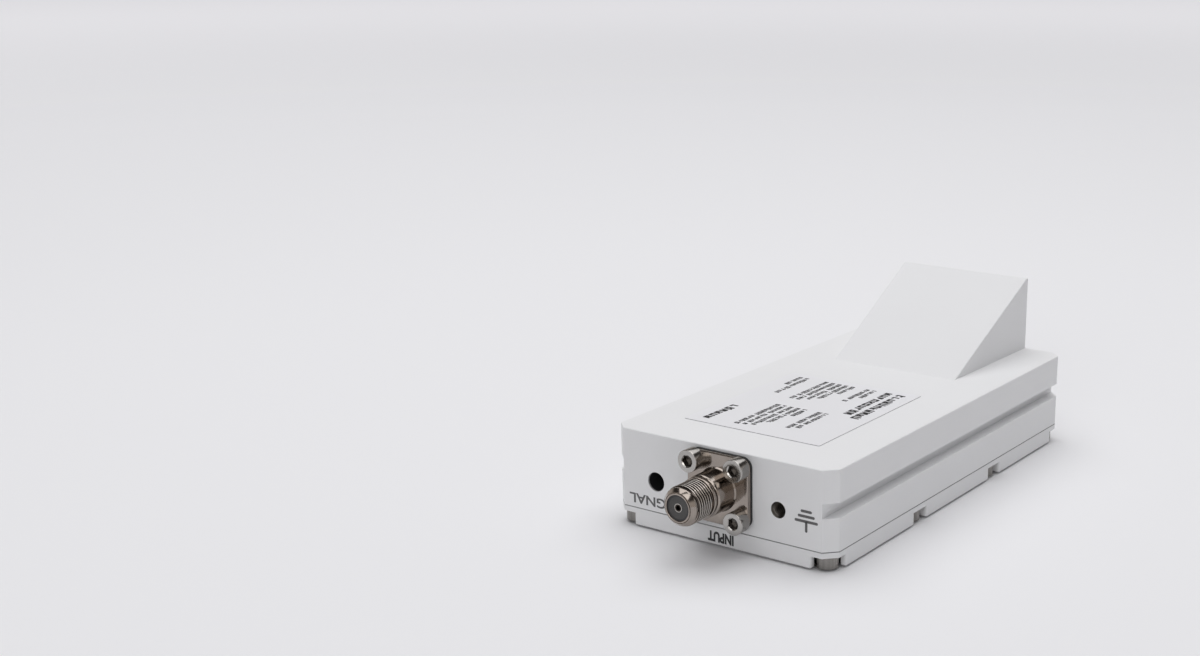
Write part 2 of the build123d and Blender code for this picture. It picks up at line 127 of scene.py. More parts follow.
camera_data = bpy.data.cameras.new("camera")
camera_data.sensor_fit = "HORIZONTAL"
camera_data.sensor_width = SENSOR
camera_data.lens = LENS
camera_data.shift_x = SHIFT_X
camera_data.shift_y = SHIFT_Y
camera_data.clip_start = NEAREST_SEEN
camera = add_object("camera", camera_data)
bpy.context.scene.camera = camera
camera.matrix_world = (
    Matrix.Translation(CAMERA_PLACE)
    @ Matrix.Rotation(math.radians(CAMERA_AZIMUTH), 4, "Z")
    @ Matrix.Rotation(math.radians(90 - CAMERA_ELEVATION), 4, "X")
    @ Matrix.Rotation(math.radians(CAMERA_ROLL), 4, "Z")
)
print("camera", LENS, "mm lens")

# %% [markdown]
# ## A short way to write materials
# Nodes wired one by one are hard to read. Here `Wire` wraps a socket and knows arithmetic, so that `1 - mask` adds
# the Math node by itself. `Nodes` holds a tree, and any other node comes from its one method: the node's type, its
# settings, then the values or links of its sockets. `Finish` is such a tree with one shader in it, a material.

# %% Materials as expressions
class Wire:
    """A socket that carries a number, on which arithmetic adds Math nodes."""

    def __init__(self, owner, socket):
        self.owner = owner
        self.socket = socket

    def math(self, operation, first, second):
        return self.owner.node("ShaderNodeMath", {"operation": operation}, {0: first, 1: second})

    def __add__(self, other):
        return self.math("ADD", self, other)

    def __radd__(self, other):
        return self.math("ADD", other, self)

    def __sub__(self, other):
        return self.math("SUBTRACT", self, other)

    def __rsub__(self, other):
        return self.math("SUBTRACT", other, self)

    def __mul__(self, other):
        return self.math("MULTIPLY", self, other)

    def __rmul__(self, other):
        return self.math("MULTIPLY", other, self)

    def __lt__(self, other):
        return self.math("LESS_THAN", self, other)

    def __gt__(self, other):
        return self.math("GREATER_THAN", self, other)

    def __abs__(self):
        return self.math("ABSOLUTE", self, 0)


class Nodes:
    """A node tree. Nodes take their settings first, then the values or links of their sockets."""

    def __init__(self, tree):
        self.tree = tree

    def plug(self, value, socket):
        if isinstance(value, Wire):
            self.tree.links.new(value.socket, socket)
        elif socket.type == "RGBA":
            socket.default_value = (*value, 1)
        else:
            socket.default_value = value

    def node(self, kind, settings=None, sockets=None, output=0):
        made = self.tree.nodes.new(kind)
        for name, value in (settings or {}).items():
            setattr(made, name, value)
        for name, value in (sockets or {}).items():
            self.plug(value, made.inputs[name])
        return Wire(self, made.outputs[output])

    def blend(self, amount, first, second):
        """A colour between two colours."""
        return self.node("ShaderNodeMix", {"data_type": "RGBA"}, {0: amount, 6: first, 7: second}, 2)

    def ramp(self, value, start, end, first=0.0, last=1.0, curve="LINEAR"):
        """A number that goes from first to last while the value goes from start to end."""
        return self.node("ShaderNodeMapRange", {"interpolation_type": curve}, {
            "Value": value, "From Min": start, "From Max": end, "To Min": first, "To Max": last,
        })


class Finish(Nodes):
    """A material with one principled shader. Constants are set on the shader's own sockets."""

    def __init__(self, name, **constants):
        self.material = bpy.data.materials.new(name)
        self.material.use_nodes = True
        super().__init__(self.material.node_tree)
        self.shader = self.tree.nodes["Principled BSDF"]
        self.coat(**constants)

    def place(self):
        """The object's own coordinates, which here are the part's, in metres."""
        return self.node("ShaderNodeTexCoord", output="Object")

    def axes(self):
        split = self.node("ShaderNodeSeparateXYZ", sockets={0: self.place()})
        return [Wire(self, socket) for socket in split.socket.node.outputs]

    def noise(self, scale, stretch=(1, 1, 1), detail=3.0):
        """Soft noise from 0 to 1. The stretch draws it out along an axis, as brushing or turning does."""
        spot = self.node("ShaderNodeVectorMath", {"operation": "MULTIPLY"}, {0: self.place(), 1: stretch})
        return self.node("ShaderNodeTexNoise", sockets={"Vector": spot, "Scale": scale, "Detail": detail})

    def bump(self, height, strength, distance):
        return self.node(
            "ShaderNodeBump", sockets={"Height": height, "Strength": strength, "Distance": distance}
        )

    def coat(self, **links):
        for words, value in links.items():
            self.plug(value, self.shader.inputs[words.replace("_", " ")])
        return self.material


def dress(material, *names):
    """Give solids from CAD their finish."""
    for name in names:
        slots = nodes[name].data.materials
        slots.clear()
        slots.append(material)
    print("dressed", *names)


NOISE_MIDDLE = 0.5
print("material tools ready")

# %% [markdown]
# ## White paint
# The box is milled aluminium under satin white paint: nearly even in colour, with a faint orange-peel surface that
# only shows where light grazes it. A flat white would look like plaster, so the colour drifts by a percent or two
# and the gloss varies a little. Two masks on height paint shade into the colour: a dark line in the seam, and a
# painted contact shadow along the lower rim, where the cover meets the floor.

# %% Mix the paint
PAINT = (0.815, 0.815, 0.818)
PAINT_SHADE = (0.79, 0.79, 0.794)
PAINT_GLOSS = 0.46
PAINT_GLOSS_SPREAD = 0.06
DRIFT_SCALE = 40.0
PEEL_SCALE = 1800.0
PEEL_STRENGTH = 0.12
PEEL_HEIGHT = 0.02 * MM
# Painted shade: a dark tone blended into the paint along the seam, and as a contact shadow along the lower rim.
PAINTED_SHADE_TONE = (0.16, 0.16, 0.162)
SEAM_PAINTED_SHADE = 0.7
SEAM_REACH = 0.07 * MM
RIM_PAINTED_SHADOW = 0.9
RIM_LOW = 0.01 * MM
RIM_HIGH = 0.2 * MM


def painted(name):
    """The paint alone: its colour, gloss and relief, with painted shade in the seam and a painted contact shadow
    along the lower rim.
    """
    paint = Finish(name, IOR=1.5, Specular_IOR_Level=0.1)
    height = paint.axes()[2]
    seam = (height > cover_high.z - SEAM_REACH) * (height < housing_low.z + SEAM_REACH)
    rim = (height > cover_low.z + RIM_LOW) * (height < cover_low.z + RIM_HIGH)
    drift = paint.noise(DRIFT_SCALE)
    peel = paint.noise(PEEL_SCALE, detail=2.0)
    colour = paint.blend(drift, PAINT, PAINT_SHADE)
    # Painted shade in the seam and a painted contact shadow along the lower rim.
    colour = paint.blend(SEAM_PAINTED_SHADE * seam + RIM_PAINTED_SHADOW * rim, colour, PAINTED_SHADE_TONE)
    gloss = PAINT_GLOSS + PAINT_GLOSS_SPREAD * (peel - NOISE_MIDDLE)
    relief = paint.bump(peel, PEEL_STRENGTH, PEEL_HEIGHT)
    return paint, colour, gloss, relief


print("mixed the paint,", PAINT, "at roughness", PAINT_GLOSS)

# %% [markdown]
# ## The cover and its pockets
# The cover's screws stand in pockets that open at its sides and corners. Hardly any light gets past the heads, so the
# pocket walls are painted near-black as shade. All four quarters are alike, and a mask on absolute coordinates finds
# four pockets at once.

# %% Paint the cover
PAINTED_SHADE_BLACK = (0.026, 0.026, 0.028)
CORNER_SCREW = (27.2 * MM, 56.2 * MM)
SIDE_SCREW = (27.7 * MM, 19.7 * MM)
POCKET_RADIUS = 3.0 * MM
POCKET_ROOF = 3.2 * MM
MASK_MARGIN = 1.04


def inside_hole(across, along, middle_across, middle_along, radius):
    """1 within a round hole, from two coordinates and its middle."""
    aside = across - middle_across
    apart = along - middle_along
    return aside * aside + apart * apart < (MASK_MARGIN * radius) ** 2


paint, colour, gloss, relief = painted("satin_white_paint")
x, y, z = paint.axes()
corner_pocket = inside_hole(abs(x), abs(y), *CORNER_SCREW, POCKET_RADIUS)
side_pocket = inside_hole(abs(x), abs(y), *SIDE_SCREW, POCKET_RADIUS)
# Painted shade: the pocket walls round the screw heads are painted near-black.
pocket = (corner_pocket + side_pocket) * (z < cover_low.z + POCKET_ROOF)
colour = paint.blend(pocket, colour, PAINTED_SHADE_BLACK)
dress(paint.coat(Base_Color=colour, Roughness=gloss, Normal=relief), "cover")

# %% [markdown]
# ## The housing's holes and bare face
# Paint stays out of the earth hole, and off the face that meets the waveguide, where bare metal has to touch bare
# metal. The earth hole's metal is painted near-black as shade, and the lamp hole gets painted shade that darkens to
# black over its first fraction of a millimetre. Those places are masks on the part's own coordinates, so one
# material paints the whole housing. The masks of the front holes end inside the front wall, because without an end
# they would mark the back face as well.

# %% Paint the housing
BARE_METAL = (0.56, 0.55, 0.54)
BARE_SHADE = (0.48, 0.47, 0.46)
BARE_POLISH = 0.2
MILLING_SCALE = 900.0
MILLING_STRETCH = (1, 1, 0.05)
MILLING_GLOSS = 0.3
TAPPED_HOLE_PAINTED_SHADE = (0.085, 0.078, 0.07)
LAMP_HOLE_RADIUS = 2.4 * MM
LAMP_RIM_RADIUS = 1.9 * MM
EARTH_MOUTH_RADIUS = 2.0 * MM
PAINT_DEPTH = 0.02 * MM
MOUTH_DEPTH = 0.7 * MM
WALL_DEPTH = 10.0 * MM
PORT_FACE_HALF = 17.6 * MM
PORT_FACE_DEPTH = 0.1 * MM
PORT_HALF_WIDTH = 9.6 * MM
PORT_HALF_HEIGHT = 4.85 * MM
PORT_DEPTH = 24.5 * MM
lamp_x = (lamp_low.x + lamp_high.x) / 2
lamp_z = lamp_low.z + LAMP_RIM_RADIUS

paint, colour, gloss, relief = painted("satin_white_paint_with_bare_metal")
x, y, z = paint.axes()
in_wall = y < FRONT_Y + WALL_DEPTH
below_paint = (y > FRONT_Y + PAINT_DEPTH) * in_wall
hole_depth = paint.ramp(y, FRONT_Y, FRONT_Y + MOUTH_DEPTH)
lamp_hole = inside_hole(x, z, lamp_x, lamp_z, LAMP_HOLE_RADIUS) * hole_depth * in_wall
earth_hole = inside_hole(x, z, earth_x, earth_z, EARTH_MOUTH_RADIUS) * below_paint
across = abs(x - port_x)
upward = abs(z - port_z)
port_face = (across < PORT_FACE_HALF) * (upward < PORT_FACE_HALF) * (y > BACK_Y - PORT_FACE_DEPTH)
port_inside = (across < PORT_HALF_WIDTH) * (upward < PORT_HALF_HEIGHT) * (y > BACK_Y - PORT_DEPTH)
milling = paint.noise(MILLING_SCALE, stretch=MILLING_STRETCH)
bare = paint.node("ShaderNodeMath", {"operation": "MAXIMUM"}, {0: port_face, 1: port_inside})
bare = bare + earth_hole
metal = paint.blend(milling, BARE_METAL, BARE_SHADE)
# Painted shade: the earth hole and its countersink are painted a near-black metal.
metal = paint.blend(earth_hole, metal, TAPPED_HOLE_PAINTED_SHADE)
colour = paint.blend(bare, colour, metal)
# Painted shade: the lamp hole darkens to black with depth.
colour = paint.blend(lamp_hole, colour, PAINTED_SHADE_BLACK)
gloss = gloss + bare * (MILLING_GLOSS * milling - BARE_POLISH)
dress(paint.coat(Base_Color=colour, Roughness=gloss, Metallic=bare, Normal=relief), "housing")

# %% [markdown]
# ## Plated and plain metals
# The jack is turned brass under nickel, a warm grey with fine rings left by the tool. The screws are plain
# stainless steel, a little brighter. All share one recipe: a metal whose colour and gloss follow noise that is
# drawn out across the turning axis, so the marks run round the piece as they do on the lathe. Masks lie on top of
# that: rubbed places brighter from wear, and painted shade that darkens others.

# %% A recipe for turned metal
METAL_PAINTED_SHADE = (0.04, 0.034, 0.03)
POLISHED = (0.53, 0.5, 0.468)
RING_SHARE = 0.6
RING_GLOSS = 0.10
RING_DEPTH = 0.002 * MM
STAIN_SHARE = 0.4
STAIN_GLOSS = 0.08
STAIN_SCALE = 220.0


def turned_metal(name, light, dark, gloss, marks, depth=RING_DEPTH, painted_shade=None, polish=None):
    """A metal with turning marks of a stated depth. Painted shade and polish are functions that give masks."""
    metal = Finish(name, Metallic=1.0)
    rings = metal.noise(1.0, stretch=marks, detail=4.0)
    stain = metal.noise(STAIN_SCALE)
    colour = metal.blend(RING_SHARE * rings + STAIN_SHARE * stain, dark, light)
    if polish:
        colour = metal.blend(polish(metal), colour, POLISHED)
    if painted_shade:
        # Painted shade: the mask darkens the colour towards a near-black tone.
        colour = metal.blend(painted_shade(metal), colour, METAL_PAINTED_SHADE)
    roughness = gloss + RING_GLOSS * (rings - NOISE_MIDDLE) + STAIN_GLOSS * (stain - NOISE_MIDDLE)
    relief = metal.bump(rings, 1.0, depth)
    return metal.coat(Base_Color=colour, Roughness=roughness, Normal=relief)


print("turned metal has marks", RING_DEPTH / MM, "mm deep")

# %% [markdown]
# ## Wear and painted shade on the metals
# Painted shade darkens the valleys between the turns of the jack's thread and plugs rub its crests bright, so both
# masks read the distance from the jack's axis. The mouth of the middle contact gets painted shade, and the sides of
# the jack's screw heads are painted darker than their faces.

# %% Masks of wear and painted shade
CREST_BAND = 0.05 * MM
VALLEY_ROOT = 0.14 * MM
VALLEY_TOP = 0.04 * MM
VALLEY_PAINTED_SHADE = 0.9
WEAR_AND_SHADE_MARGIN = 0.45 * MM
CONTACT_MOUTH = 0.85 * MM
HEAD_EDGE = 0.3 * MM
HEAD_SIDE_PAINTED_SHADE = 0.3
THREAD_RADIUS = mounts["cable_jack"]["dims"]["r_mm"] * MM
THREAD_LENGTH = mounts["cable_jack"]["dims"]["length_mm"] * MM
THREAD_MIDDLE = mounts["cable_jack"]["pos_m"][1]


def thread_zone(metal):
    """The squared distance from the jack's axis, and 1 along the thread."""
    x, y, z = metal.axes()
    across = x - jack_x
    upward = z - jack_z
    return across * across + upward * upward, abs(y - THREAD_MIDDLE) < THREAD_LENGTH / 2 - WEAR_AND_SHADE_MARGIN


def thread_valleys(metal):
    """Painted shade between the turns of the jack's thread, darkest at the root."""
    square, along = thread_zone(metal)
    root = (THREAD_RADIUS - VALLEY_ROOT) ** 2
    top = (THREAD_RADIUS - VALLEY_TOP) ** 2
    return metal.ramp(square, root, top, VALLEY_PAINTED_SHADE, 0.0) * along


def thread_crests(metal):
    """Plugs have rubbed the crests of the thread bright."""
    square, along = thread_zone(metal)
    return (square > (THREAD_RADIUS - CREST_BAND) ** 2) * along


def contact_hole(metal):
    """Painted shade in the mouth of the hole in the middle contact."""
    x, y, z = metal.axes()
    return inside_hole(x, z, jack_x, jack_z, CONTACT_MOUTH)


def head_sides(metal):
    """Painted shade: the sides of the jack's screw heads are painted darker than their faces."""
    return HEAD_SIDE_PAINTED_SHADE * (metal.axes()[1] > jack_screws_low.y + HEAD_EDGE)


print("thread of radius", THREAD_RADIUS / MM, "mm wears over", THREAD_LENGTH / MM, "mm")

# %% [markdown]
# ## One metal for each kind of piece
# What tells these metals apart is their tone, their gloss and the way their marks run. The cover's screws have
# knurled heads: there the noise is coarse, deep and drawn out along the screw. The inside of a socket gets painted
# shade, a darker steel.

# %% Make the metals
ALONG_JACK = (300, 14000, 300)
ALONG_SCREW = (300, 300, 9000)
ALL_WAYS = (600, 600, 600)
KNURL = (1300, 1300, 60)
KNURL_DEPTH = 0.03 * MM
PLATED_RING_DEPTH = 0.001 * MM
# Painted shade darkens the valleys of the thread; the crests are rubbed bright by wear.
nickel = turned_metal(
    "nickel_plate", (0.44, 0.395, 0.355), (0.24, 0.205, 0.18), 0.13, ALONG_JACK, PLATED_RING_DEPTH,
    thread_valleys, thread_crests,
)
# Painted shade darkens the sides of the screw heads.
jack_screw_steel = turned_metal(
    "jack_screw_steel", (0.54, 0.525, 0.505), (0.33, 0.315, 0.295), 0.2, ALONG_JACK, painted_shade=head_sides
)
cover_screw_steel = turned_metal(
    "cover_screw_steel", (0.50, 0.48, 0.455), (0.07, 0.065, 0.06), 0.2, KNURL, KNURL_DEPTH
)
# Painted shade darkens the mouth of the middle contact.
contact_plate = turned_metal(
    "contact_plate", (0.74, 0.71, 0.66), (0.58, 0.54, 0.49), 0.22, ALONG_JACK, painted_shade=contact_hole
)
probe_plate = turned_metal("probe_plate", (0.78, 0.68, 0.45), (0.62, 0.52, 0.32), 0.25, ALONG_SCREW)
# Painted shade: the inside of each socket is a darker steel.
socket_painted_shade = turned_metal("socket_painted_shade", (0.20, 0.185, 0.17), (0.08, 0.075, 0.07), 0.2, ALL_WAYS)
dress(contact_plate, "centre_contact")

# %% [markdown]
# ## Turning on the lathe
# A turned piece is a section spun round an axis. The section is a closed line of a few corners. Real corners are
# never knife-sharp and only rounded ones catch light, so the corners are bevelled first and the rounded section is
# spun. Where the section touches the axis the spin leaves a stack of points, so doubles are merged before the faces
# are turned outwards.

# %% Tools for bmesh pieces
SPIN_STEPS = 96
CORNER_ROUNDING = 0.06 * MM
MERGE_DISTANCE = 1e-7


def bevel(bm, geom, offset, segments, affect, clamp=False):
    """Round off edges or corners evenly, in the material that is there."""
    bmesh.ops.bevel(
        bm, geom=geom, offset=offset, offset_type="OFFSET", segments=segments, profile=0.5,
        affect=affect, clamp_overlap=clamp, material=-1,
    )


def close_up(bm):
    """Merge doubles, then turn the faces outwards."""
    bmesh.ops.remove_doubles(bm, verts=bm.verts, dist=MERGE_DISTANCE)
    bmesh.ops.recalc_face_normals(bm, faces=bm.faces)


def section_line(bm, points, closed=True):
    """A section in the XZ plane from (radius, height) points. Gives its corners."""
    corners = [bm.verts.new((radius, 0, height)) for radius, height in points]
    pairs = list(zip(corners, corners[1:]))
    if closed:
        pairs.append((corners[-1], corners[0]))
    for pair in pairs:
        bm.edges.new(pair)
    return corners


def spin_once(bm, steps):
    """Spin all that a bmesh holds once round Z."""
    bmesh.ops.spin(
        bm, geom=bm.verts[:] + bm.edges[:], cent=(0, 0, 0), axis=(0, 0, 1), angle=math.tau, steps=steps,
        use_merge=True,
    )


def turn(bm, points):
    """Round off a closed section and spin it into a solid."""
    off_axis = [corner for corner in section_line(bm, points) if corner.co.x > MERGE_DISTANCE]
    bevel(bm, off_axis, CORNER_ROUNDING, 2, "VERTICES", clamp=True)
    spin_once(bm, SPIN_STEPS)
    close_up(bm)


print("a turned piece has", SPIN_STEPS, "steps and corners rounded by", CORNER_ROUNDING / MM, "mm")

# %% [markdown]
# ## From a bmesh to a piece
# Every piece ends the same way. Its bmesh, already in place, becomes a mesh on an object at the origin. Smooth
# shading stops at real edges, the piece is parented to the body it rides on and gets its finish, and the solids it
# stands for are hidden.

# %% Tools for finished pieces
SHARP_ANGLE = 20.0


def add_to(target, source, place=Matrix.Identity(4)):
    """Copy a finished bmesh into another, then free it."""
    bmesh.ops.transform(source, matrix=place, verts=source.verts)
    carrier = bpy.data.meshes.new("carrier")
    source.to_mesh(carrier)
    source.free()
    target.from_mesh(carrier)
    bpy.data.meshes.remove(carrier)


def make_piece(name, bm, materials, stands_for=(), smooth=True):
    """Turn a bmesh, already in place, into a piece of the part."""
    mesh = bpy.data.meshes.new(name)
    bm.to_mesh(mesh)
    bm.free()
    if smooth:
        mesh.shade_smooth()
        mesh.set_sharp_from_angle(angle=math.radians(SHARP_ANGLE))
    for material in materials:
        mesh.materials.append(material)
    piece = add_object(name, mesh)
    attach(piece, "root")
    if stands_for:
        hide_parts(*stands_for)
    print("made", name, "with", len(mesh.polygons), "faces")


print("edges over", SHARP_ANGLE, "degrees stay sharp")

# %% [markdown]
# ## The cable jack
# From the flange outwards the jack has a smooth barrel, a narrow groove, a shoulder ring, the thread and a tapered
# nose round the insulator. All of it but the thread and the flange is one spin. Heights are measured from the front
# face of the box, along the jack. The barrel has an extra point close to each end: smooth shading blends normals
# from point to point, and these two hold them straight along the barrel, so that it mirrors like a true cylinder.

# %% Turn the jack's body
JACK_SCREW_HEAD_HEIGHT = 3.0 * MM
flange_back = FRONT_Y - gasket_low.y
flange_front = FRONT_Y - jack_screws_low.y - JACK_SCREW_HEAD_HEIGHT
spigot_radius = 4.2 * MM
spigot_back = FRONT_Y - jack_high.y
root_radius = 5.4 * MM
root_foot = flange_front - 0.2 * MM
root_edge = flange_front + 0.1 * MM
root_height = 2.2 * MM
barrel_radius = 5.1 * MM
barrel_end = 8.0 * MM
barrel_break = 0.35 * MM
barrel_hold = 0.2 * MM
groove_radius = 4.4 * MM
groove_end = 8.5 * MM
shoulder_radius = 4.95 * MM
shoulder_end = 9.4 * MM
shoulder_break = 0.15 * MM
THREAD_DEPTH = 0.47 * MM
thread_end = shoulder_end + THREAD_LENGTH
core_radius = THREAD_RADIUS - THREAD_DEPTH
core_end = thread_end - 0.05 * MM
nose_radius = THREAD_RADIUS - 0.25 * MM
nose_land_end = thread_end + 0.35 * MM
nose_end = FRONT_Y - jack_low.y
cone_radius = 3.64 * MM
cone_end = nose_end - 0.18 * MM
rim_radius = 3.44 * MM
rim_foot = nose_end - 0.38 * MM
rim_gap_radius = cone_radius - 0.06 * MM
bore_radius = 3.05 * MM
bore_break = 0.1 * MM

jack = bmesh.new()
turn(jack, [
    (bore_radius, spigot_back),
    (spigot_radius, spigot_back),
    (spigot_radius, root_foot),
    (root_radius, root_foot),
    (root_radius, root_edge),
    (barrel_radius, root_height),
    (barrel_radius, root_height + barrel_hold),
    (barrel_radius, barrel_end - barrel_break - barrel_hold),
    (barrel_radius, barrel_end - barrel_break),
    (barrel_radius - barrel_break, barrel_end),
    (groove_radius, barrel_end),
    (groove_radius, groove_end),
    (shoulder_radius - shoulder_break, groove_end),
    (shoulder_radius, groove_end + shoulder_break),
    (shoulder_radius, shoulder_end - shoulder_break),
    (shoulder_radius - shoulder_break, shoulder_end),
    (core_radius, shoulder_end),
    (core_radius, core_end),
    (nose_radius, thread_end),
    (nose_radius, nose_land_end),
    (cone_radius, cone_end),
    (rim_gap_radius, rim_foot),
    (rim_radius, rim_foot),
    (rim_radius, nose_end),
    (bore_radius + bore_break, nose_end),
    (bore_radius, nose_end - bore_break),
])
print("jack's body:", len(jack.faces), "faces")

# %% [markdown]
# ## The thread
# A bump map can't give the stepped outline of a thread, so it is real: one tooth section is spun with a small push
# along the axis at every step, which makes a helix. The first and last part of a turn sink into the core, as a cut
# thread runs out.

# %% Spin a helix
THREAD_STEPS_PER_TURN = 72
RUN_OUT_TURNS = 0.2


def points_of(geom):
    """The points among what an operator gives back."""
    return [item for item in geom if isinstance(item, bmesh.types.BMVert)]


def helix(points, pitch, turns, crest, rounding):
    """A tooth section, rounded at its crest corners, spun into a closed helical ridge round Z."""
    ridge = bmesh.new()
    corners = section_line(ridge, points)
    bevel(ridge, [corners[index] for index in crest], rounding, 4, "VERTICES", clamp=True)
    corners, edges = ridge.verts[:], ridge.edges[:]
    bmesh.ops.contextual_create(ridge, geom=corners)
    steps = round(turns * THREAD_STEPS_PER_TURN)
    push = Vector((0, 0, pitch / THREAD_STEPS_PER_TURN))
    spun = bmesh.ops.spin(
        ridge, geom=edges + corners, cent=(0, 0, 0), axis=(0, 0, 1), dvec=push,
        angle=math.tau * steps / THREAD_STEPS_PER_TURN, steps=steps,
    )
    bmesh.ops.contextual_create(ridge, geom=points_of(spun["geom_last"]))
    bmesh.ops.recalc_face_normals(ridge, faces=ridge.faces)
    print("helix of", round(turns, 2), "turns,", len(ridge.faces), "faces")
    return ridge


def run_out(ridge, start, pitch, turns, inner, sink):
    """Let the ridge's two ends sink to the sunk radius over part of a turn."""
    for corner in ridge.verts:
        radius = math.hypot(corner.co.x, corner.co.y)
        along = (corner.co.z - start) / pitch
        keep = min(1, max(0, along) / RUN_OUT_TURNS, max(0, turns - along) / RUN_OUT_TURNS)
        wanted = inner + (radius - inner) * keep if sink else inner - (inner - radius) * keep
        corner.co.x *= wanted / radius
        corner.co.y *= wanted / radius


print("threads have", THREAD_STEPS_PER_TURN, "steps to a turn")

# %% Cut the jack's thread
THREAD_PITCH = 25.4 / 32 * MM
CREST_WIDTH = 0.18 * MM
CREST_ROUNDING = 0.08 * MM
TOOTH_WIDTH = 0.66 * MM
ROOT_OVERLAP = 0.12 * MM
thread_turns = (THREAD_LENGTH - TOOTH_WIDTH) / THREAD_PITCH
half_crest = CREST_WIDTH / 2
half_tooth = TOOTH_WIDTH / 2
tooth_start = shoulder_end + half_tooth
sunk_radius = core_radius - ROOT_OVERLAP
thread = helix([
    (sunk_radius, tooth_start - half_tooth),
    (core_radius, tooth_start - half_tooth),
    (THREAD_RADIUS, tooth_start - half_crest),
    (THREAD_RADIUS, tooth_start + half_crest),
    (core_radius, tooth_start + half_tooth),
    (sunk_radius, tooth_start + half_tooth),
], THREAD_PITCH, thread_turns, (2, 3), CREST_ROUNDING)
run_out(thread, tooth_start, THREAD_PITCH, thread_turns, sunk_radius, True)
add_to(jack, thread)

# %% [markdown]
# ## The jack's flange
# The flange is a thin square plate. A cube is scaled to size, its four upright edges are rounded with one bevel, and
# a second, smaller bevel breaks the front rim, which is the bright line along the plate's edge.

# %% Add the flange
FLANGE_SIDE = jack_high.x - jack_low.x
FLANGE_CORNER = 2.4 * MM
FLANGE_RIM = 0.2 * MM


def block(bm, middle, size):
    """A cube scaled to its sides, round its middle."""
    bmesh.ops.create_cube(bm, size=1, matrix=Matrix.Translation(middle) @ Matrix.Diagonal((*size, 1)))


def upright_edges(bm):
    """The edges that run along Z."""
    return [edge for edge in bm.edges if abs(edge.verts[0].co.z - edge.verts[1].co.z) > MERGE_DISTANCE]


flange = bmesh.new()
flange_middle = (flange_front + flange_back) / 2
block(flange, (0, 0, flange_middle), (FLANGE_SIDE, FLANGE_SIDE, flange_front - flange_back))
bevel(flange, upright_edges(flange), FLANGE_CORNER, 10, "EDGES")
front_rim = [edge for edge in flange.edges if min(corner.co.z for corner in edge.verts) > flange_middle]
bevel(flange, front_rim, FLANGE_RIM, 3, "EDGES")
add_to(jack, flange)
bmesh.ops.transform(jack, matrix=facing_front(jack_x, jack_z), verts=jack.verts)
make_piece("cable_jack", jack, [nickel], ["connector_body"])

# %% [markdown]
# ## Socket screws
# Both sets of screws have cylinder heads with a hexagon socket. The head and shank are spun with a round opening
# left in the top. A ring of points is then pulled out to a hexagon, bridged to that opening, pushed down into the
# socket and drawn together to the shallow cone that a drill leaves at the bottom.

# %% Make a socket screw
HEAD_RADIUS = 2.7 * MM
HEAD_ROUNDING = 0.18 * MM
SHANK_RADIUS = 1.5 * MM
SHANK_LENGTH = 7.5 * MM
ACROSS_FLATS = 2.5 * MM
SOCKET_DEPTH = 1.6 * MM
SOCKET_LEAD = 0.2 * MM
SOCKET_CONE = 0.3 * MM
SOCKET_STEPS = 48
MOUTH_MARGIN = 0.1 * MM


def hexagon_radius(angle):
    """How far the hexagon's side lies from its middle, at an angle from one corner."""
    from_side = angle % (math.tau / 6) - math.tau / 12
    return ACROSS_FLATS / 2 / math.cos(from_side)


def socket_screw(head_height):
    """A screw along Z, with the underside of its head at zero. Its socket has the second material."""
    screw = bmesh.new()
    opening = ACROSS_FLATS / 2 / math.cos(math.tau / 12) + MOUTH_MARGIN
    corners = section_line(screw, [
        (0, -SHANK_LENGTH),
        (SHANK_RADIUS, -SHANK_LENGTH),
        (SHANK_RADIUS, 0),
        (HEAD_RADIUS, 0),
        (HEAD_RADIUS, head_height),
        (opening, head_height),
    ], closed=False)
    bevel(screw, [corners[4]], HEAD_ROUNDING, 3, "VERTICES")
    spin_once(screw, SOCKET_STEPS)
    bmesh.ops.remove_doubles(screw, verts=screw.verts, dist=MERGE_DISTANCE)
    mouth = [edge for edge in screw.edges if len(edge.link_faces) == 1]
    lead_in = Matrix.Translation((0, 0, head_height - SOCKET_LEAD))
    ring = bmesh.ops.create_circle(screw, segments=SOCKET_STEPS, radius=1, matrix=lead_in)["verts"]
    for corner in ring:
        reach = hexagon_radius(math.atan2(corner.co.y, corner.co.x))
        corner.co.x *= reach
        corner.co.y *= reach
    hexagon = list(dict.fromkeys(edge for corner in ring for edge in corner.link_edges))
    bmesh.ops.bridge_loops(screw, edges=mouth + hexagon)
    walls = bmesh.ops.extrude_edge_only(screw, edges=hexagon)["geom"]
    bmesh.ops.translate(screw, verts=points_of(walls), vec=(0, 0, SOCKET_LEAD - SOCKET_DEPTH))
    floor_edges = [
        item for item in walls if isinstance(item, bmesh.types.BMEdge) and len(item.link_faces) == 1
    ]
    tip = points_of(bmesh.ops.extrude_edge_only(screw, edges=floor_edges)["geom"])
    bmesh.ops.scale(screw, verts=tip, vec=(0, 0, 1))
    bmesh.ops.translate(screw, verts=tip, vec=(0, 0, -SOCKET_CONE))
    close_up(screw)
    lead_middle = head_height - SOCKET_LEAD / 2 - MERGE_DISTANCE
    # Socket faces take the second material, the socket's painted shade.
    for face in screw.faces:
        middle = face.calc_center_median()
        if 0 < middle.z < lead_middle and middle.xy.length < opening:
            face.material_index = 1
    return screw


print("sockets have a lead-in of", SOCKET_LEAD / MM, "mm")

# %% [markdown]
# ## Screws in their places
# Four screws hold the jack and eight hold the cover, heads down in its pockets. Their places come from the solids:
# a copy of a node's mesh is welded, and its separate islands are the screws. Each new screw is turned by its own
# small angle, because nobody lines up screws.

# %% Find the screws
def corner_box(corners):
    """The low and high corner of the box round some points of a mesh."""
    low = Vector(min(corner.co[axis] for corner in corners) for axis in range(3))
    high = Vector(max(corner.co[axis] for corner in corners) for axis in range(3))
    return low, high


